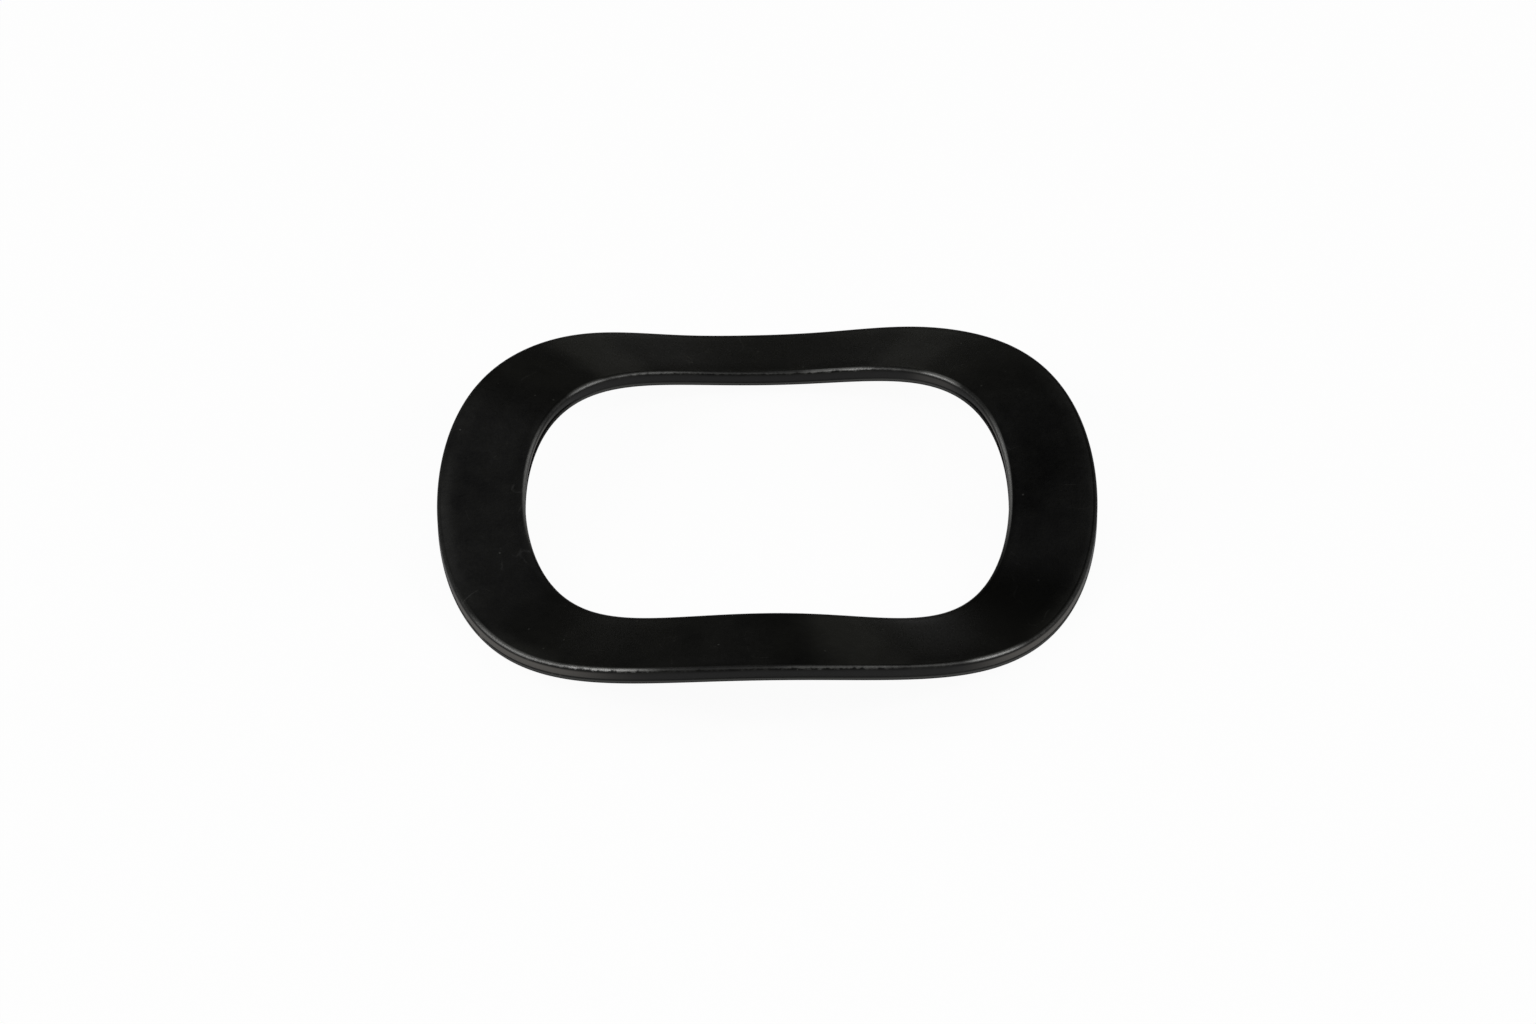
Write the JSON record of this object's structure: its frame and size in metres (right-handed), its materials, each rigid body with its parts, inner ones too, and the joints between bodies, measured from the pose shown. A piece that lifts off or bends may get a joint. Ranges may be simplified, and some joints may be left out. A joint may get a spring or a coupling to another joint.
{
  "type": "wave spring washer",
  "caption": "Round spring washer of flat black steel strip, formed into waves round the ring that flatten under load to take up play along a shaft or bolt.",
  "frame": {"origin": "centre of the hole, on the plane that the troughs rest on", "axes": "+Z along the axis of the hole, from the resting plane up to the crests; one crest points to -Y"},
  "size_m": [0.0224, 0.0224, 0.0029],
  "materials": {
    "black_spring_steel": "satin"
  },
  "bodies": {
    "root": {"washer": "black_spring_steel"}
  },
  "joints": []
}
